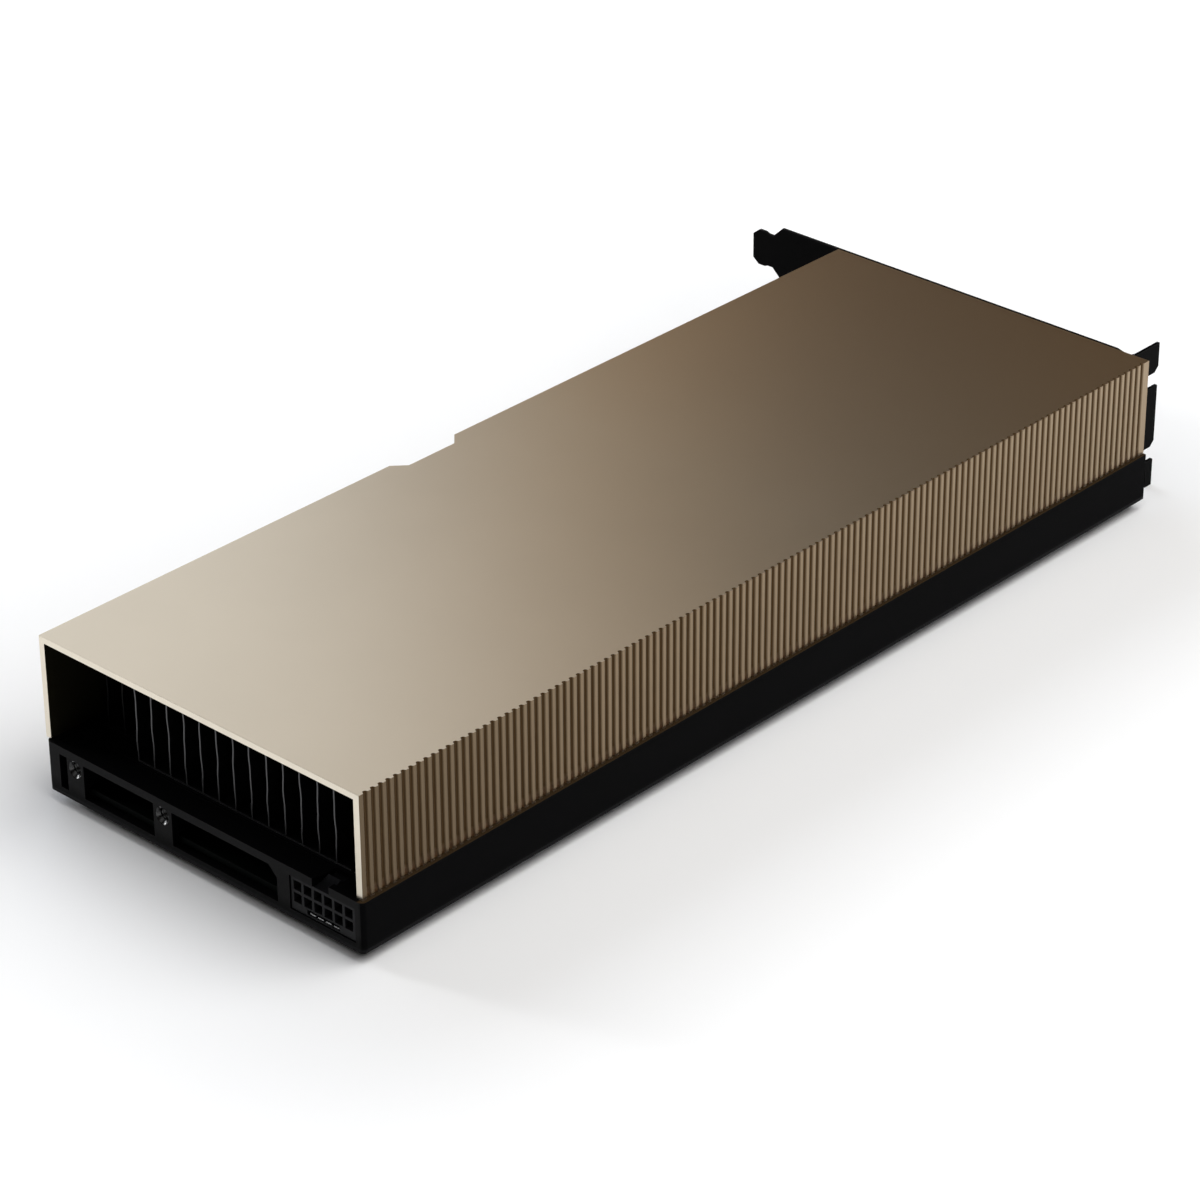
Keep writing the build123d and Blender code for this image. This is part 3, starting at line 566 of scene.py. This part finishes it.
def shroud_edge(edge):
    """Whether an edge is one of the shroud's outer edges, without those of the ribs."""
    first, second = (v.co for v in edge.verts)
    if max(first.y, second.y) < SHROUD_LOW.y + RIB_EDGE_BAND:
        return max(abs(first.x - SHROUD_LOW.x), abs(second.x - SHROUD_LOW.x)) < EDGE_SKIN
    for v in (first, second):
        end = min(abs(v.x - SHROUD_LOW.x), abs(v.x - SHROUD_HIGH.x)) < EDGE_SKIN
        side = abs(v.y - SHROUD_HIGH.y) < RECESS_FLOOR_BAND
        top = abs(v.z - SHROUD_HIGH.z) < EDGE_SKIN
        if not (end or side or top):
            return False
    return True


def dress_shroud(finishes):
    names = ("champagne_metal", "ribbed_metal_painted_light_and_shade", "shroud_inside_shade", "lit_end_metal")
    rounded("shroud", [finishes[n] for n in names], "champagne_metal",
            face_material=shroud_face, chosen=shroud_edge)


def frame_face(face):
    """0 sides, 1 the bezel's outer face, a lighter black as painted light, 2 faces that look up, a
    darker black as painted shade.
    """
    on_bezel = face.calc_center_median().x < SHROUD_LOW.x + BEZEL_SKIN
    if on_bezel and face.normal.x < -SQUARE_ON:
        return 1
    return 2 if face.normal.z > SQUARE_ON else 0


def dress_black_parts(finishes):
    names = ("black_frame", "bezel_light_and_foot_shade", "deck_shade_and_ledge_light", "edge_black")
    rounded("base_frame", [finishes[n] for n in names], "black_frame",
            face_material=frame_face, edge_material=3)
    slots = {"backplate": "black_cover", "slot_bracket": "black_bracket",
             "power_socket": "socket_plastic"}
    for node, slot in slots.items():
        rounded(node, [finishes[slot], finishes["edge_black"]], slot, edge_material=1)


def dress_cad_nodes(finishes):
    """Gives every CAD node the finish that its material slot names."""
    for part in frame["record"]["subparts"]:
        shown = nodes[part["node"]]
        shown.data.materials.clear()
        shown.data.materials.append(finishes[FINISH_OF.get(part["node"], part["material_slot"])])


def smooth_step(value):
    """Eases from 0 to 1 as the value goes from 0 to 1, and stays level beyond."""
    value = min(1.0, max(0.0, value))
    return value * value * (3 - 2 * value)


def sway_fin(place):
    """How far a point of a fin stands out of its plane: most at the middle of the front edge."""
    row = round((place.y - FIN_LOW.y) / FIN_PITCH)
    rise = (place.z - FIN_LOW.z) / (FIN_HIGH.z - FIN_LOW.z)
    held = smooth_step(rise * FIN_HOLD) * smooth_step((1 - rise) * FIN_HOLD)
    inward = (place.x - FIN_LOW.x - FIN_CUTS[0]) / (FIN_CUTS[-1] - FIN_CUTS[0])
    waves = sum(share * math.sin(rise * turns + row * shift) for share, turns, shift in FIN_WAVES)
    return FIN_SWAY * waves * held * (1 - smooth_step(inward))


def dress_fins(finishes):
    """The fins as thin sheet: their front ends stand a little unevenly between foot and cover."""
    bm = plain_faces("fin_stack")
    height = FIN_HIGH.z - FIN_LOW.z
    cuts = [(Vector((0, 0, FIN_LOW.z + height * i / FIN_LEVELS)), Vector((0, 0, 1)))
            for i in range(1, FIN_LEVELS)]
    cuts += [(Vector((FIN_LOW.x + reach, 0, 0)), Vector((1, 0, 0))) for reach in FIN_CUTS]
    for place, normal in cuts:
        whole = bm.verts[:] + bm.edges[:] + bm.faces[:]
        bmesh.ops.bisect_plane(bm, geom=whole, plane_co=place, plane_no=normal)
    for v in bm.verts:
        v.co.y += sway_fin(v.co)
    piece = new_piece("fin_sheets", bm, [finishes["fin_metal"]])
    stand_in(piece, "fin_metal", "fin_stack")


def insert_rings(length):
    """Radius and depth of each ring of a threaded insert, and the share of the thread's relief."""
    break_width, break_depth = INSERT_BREAK
    rings = [(INSERT_OUTER, length, 0), (INSERT_OUTER, break_depth, 0),
             (INSERT_OUTER - break_width, 0, 0), (INSERT_BORE + INSERT_SINK, 0, 0),
             (INSERT_BORE + INSERT_SINK_STEP, INSERT_SINK, 0)]
    steps = int((length - INSERT_SINK) / THREAD_PITCH * THREAD_STEPS)
    for i in range(1, steps):
        depth = INSERT_SINK + (length - INSERT_SINK) * i / steps
        rings.append((INSERT_BORE, depth, min(1.0, i / THREAD_STEPS)))
    return rings + [(INSERT_BORE, length, 0)]


def add_insert(bm, centre, length):
    """Turned insert with a helical thread in its bore, its outer end facing the inlet side."""
    grid = []
    for radius, depth, relief in insert_rings(length):
        ring = []
        for k in range(INSERT_SIDES):
            turn = 2 * math.pi * k / INSERT_SIDES
            phase = (depth / THREAD_PITCH - k / INSERT_SIDES) % 1
            r = radius + relief * THREAD_DEPTH * (1 - abs(2 * phase - 1))
            offset = Vector((depth, r * math.cos(turn), r * math.sin(turn)))
            ring.append(bm.verts.new(centre + offset))
        grid.append(ring)
    for first, second in zip(grid, grid[1:] + grid[:1]):
        for k in range(INSERT_SIDES):
            n = (k + 1) % INSERT_SIDES
            bm.faces.new((first[k], first[n], second[n], second[k]))


def dress_inserts(finishes):
    low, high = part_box("threaded_inserts")
    bm = bmesh.new()
    for y in (low.y + INSERT_OUTER, high.y - INSERT_OUTER):
        add_insert(bm, Vector((low.x, y, (low.z + high.z) / 2)), high.x - low.x)
    bmesh.ops.recalc_face_normals(bm, faces=bm.faces)
    piece = new_piece("turned_inserts", bm, [finishes["bright_insert"]])
    piece.data.shade_smooth()
    piece.data.set_sharp_from_angle(angle=INSERT_SHARP_ANGLE)
    stand_in(piece, "bright_insert", "threaded_inserts")


# Floor, light and camera

def floor_profile():
    """Distance from the middle and height of each ring of the floor."""
    flat = FLOOR_RADIUS - FLOOR_BEND
    profile = [(radius, 0.0) for radius in (*FLOOR_RINGS, flat)]
    for i in range(1, FLOOR_BEND_STEPS + 1):
        turn = math.pi / 2 * i / FLOOR_BEND_STEPS
        profile.append((flat + FLOOR_BEND * math.sin(turn), FLOOR_BEND * (1 - math.cos(turn))))
    return profile + [(FLOOR_RADIUS, FLOOR_WALL)]


def make_floor():
    """Round pale floor whose far rim curves up into a low wall."""
    bm = bmesh.new()
    verts = [bm.verts.new((r, 0, z)) for r, z in floor_profile()]
    edges = [bm.edges.new(pair) for pair in zip(verts, verts[1:])]
    bmesh.ops.spin(bm, geom=verts + edges, cent=(0, 0, 0), axis=(0, 0, 1),
                   angle=2 * math.pi, steps=FLOOR_SIDES, use_merge=True)
    bmesh.ops.remove_doubles(bm, verts=bm.verts, dist=MERGE_DISTANCE)
    bmesh.ops.recalc_face_normals(bm, faces=bm.faces)
    floor = new_piece("floor", bm, [floor_material()])
    floor.data.shade_smooth()


def floor_material():
    """Pale matt floor that goes over to plain white with distance, for the eye and reflections."""
    material, tree, shader, place = new_material("pale_floor")
    shader.inputs["Base Color"].default_value = (*FLOOR_COLOUR, 1)
    shader.inputs["Roughness"].default_value = FLOOR_ROUGHNESS
    shader.inputs["Specular IOR Level"].default_value = FLOOR_SPECULAR
    away = vector_math(tree, "ABSOLUTE", place)
    away = vector_math(tree, "SUBTRACT", away, cad_bounds[1])
    away = vector_math(tree, "MAXIMUM", away, (0, 0, 0))
    length = vector_math(tree, "LENGTH", away)
    glow = map_range(tree, length, GLOW_START, GLOW_END, 0.0, GLOW_LEVEL, "SMOOTHSTEP")
    path = tree.nodes.new("ShaderNodeLightPath")
    seen = combine(tree, "MAXIMUM", path.outputs["Is Camera Ray"], path.outputs["Is Glossy Ray"])
    seen = combine(tree, "MAXIMUM", seen, path.outputs["Is Transmission Ray"])
    level = combine(tree, "MULTIPLY", seen, glow)
    shader.inputs["Emission Color"].default_value = (1, 1, 1, 1)
    tree.links.new(level, shader.inputs["Emission Strength"])
    return material


def direction(azimuth, height):
    """Unit vector towards an azimuth and a height above the horizon."""
    a, h = math.radians(azimuth), math.radians(height)
    return Vector((math.cos(a) * math.cos(h), math.sin(a) * math.cos(h), math.sin(h)))


def make_softbox(name, azimuth, height, distance, size, radiance, tint):
    """Rectangular softbox that faces the part, with the given brightness of its face."""
    light = bpy.data.lights.new(name, "AREA")
    light.shape = "RECTANGLE"
    light.size, light.size_y = size
    light.energy = radiance * math.pi * size[0] * size[1]
    light.color = tint
    lamp = bpy.data.objects.new(name, light)
    towards = direction(azimuth, height)
    lamp.location = towards * distance
    lamp.rotation_euler = towards.to_track_quat("Z", "Y").to_euler()
    bpy.context.scene.collection.objects.link(lamp)


def make_light():
    for name, facts in SOFTBOXES.items():
        make_softbox(name, **facts)
    world = bpy.data.worlds.new("studio")
    world.use_nodes = True
    world.node_tree.nodes["Background"].inputs["Color"].default_value = (*AMBIENT, 1)
    world.node_tree.nodes["Background"].inputs["Strength"].default_value = 1.0
    bpy.context.scene.world = world


def make_camera():
    """The photograph's own view."""
    right = CAMERA_FORWARD.cross(Vector((0, 0, 1))).normalized()
    up = right.cross(CAMERA_FORWARD)
    c, s = math.cos(CAMERA_ROLL), math.sin(CAMERA_ROLL)
    right, up = right * c + up * s, up * c - right * s
    turn = Matrix((right, up, -CAMERA_FORWARD)).transposed().to_4x4()
    data = bpy.data.cameras.new("camera")
    data.sensor_fit = "HORIZONTAL"
    data.sensor_width = CAMERA_SENSOR
    data.lens = CAMERA_LENS
    data.shift_x, data.shift_y = CAMERA_SHIFT
    data.clip_start, data.clip_end = CAMERA_CLIP
    camera = bpy.data.objects.new("camera", data)
    camera.matrix_world = Matrix.Translation(CAMERA_PLACE) @ turn
    bpy.context.scene.collection.objects.link(camera)
    bpy.context.scene.camera = camera


make_camera()
make_light()
make_floor()
finishes = make_finishes()
dress_cad_nodes(finishes)
dress_shroud(finishes)
dress_black_parts(finishes)
dress_fins(finishes)
dress_inserts(finishes)
bpy.context.scene.view_settings.view_transform = "Standard"
